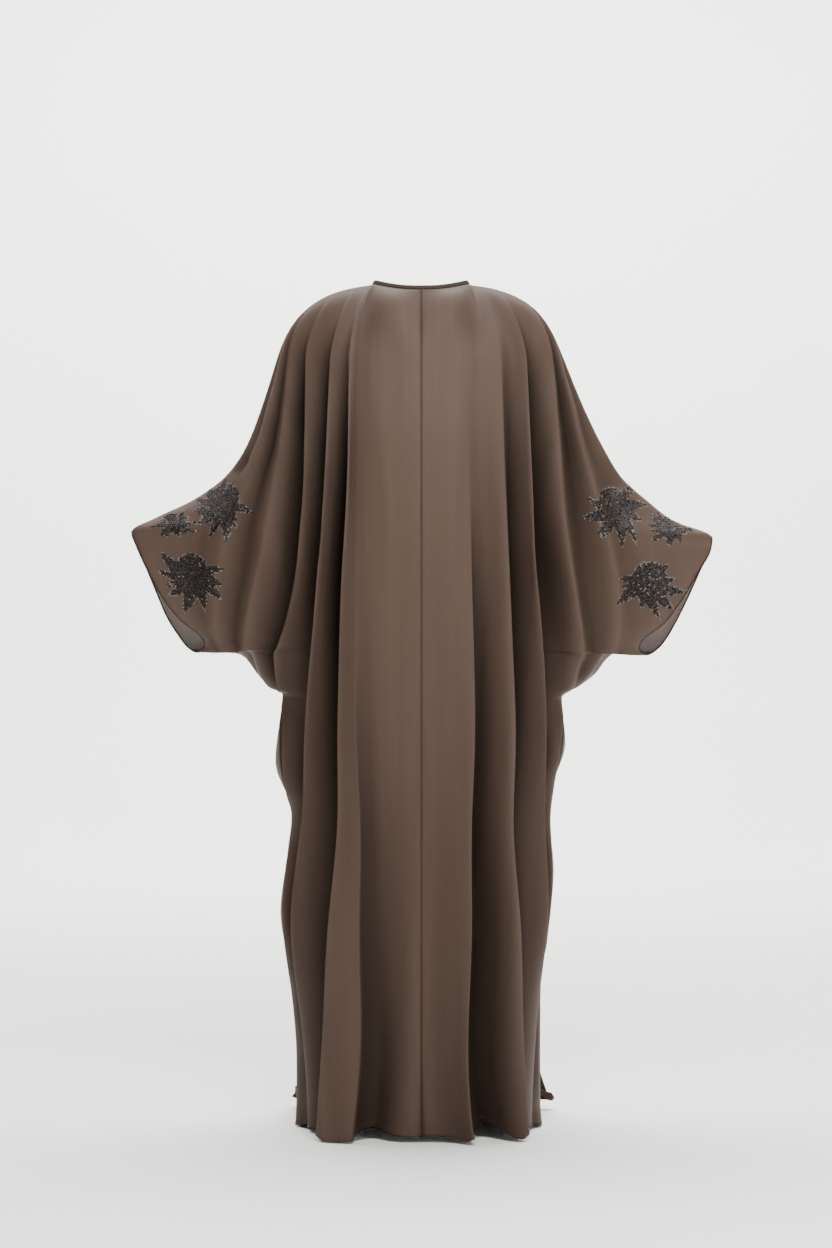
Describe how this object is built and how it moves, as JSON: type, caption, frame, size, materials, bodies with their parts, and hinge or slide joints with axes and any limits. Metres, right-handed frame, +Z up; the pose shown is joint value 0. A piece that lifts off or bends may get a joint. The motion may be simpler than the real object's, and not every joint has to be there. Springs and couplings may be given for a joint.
{
  "type": "butterfly abaya",
  "caption": "Long loose abaya with wide butterfly sleeves, in the hollow form it has when worn with both arms held out.",
  "frame": {"origin": "midway between the two shoulder points beside the neck, where the wearer carries the garment", "axes": "+Z up, -Y the back of the garment, +Y its front, +X the wearer's right"},
  "size_m": [1.0101, 0.3633, 1.4483],
  "materials": {
    "cloth": "soft matte crepe with a faint sheen",
    "edging": "narrow dark rolled edge"
  },
  "bodies": {
    "root": {"back_left": "cloth", "back_right": "cloth", "front_left": "cloth", "front_right": "cloth", "neck_binding": "edging", "cuff_edge_left": "edging", "cuff_edge_right": "edging"}
  },
  "joints": []
}
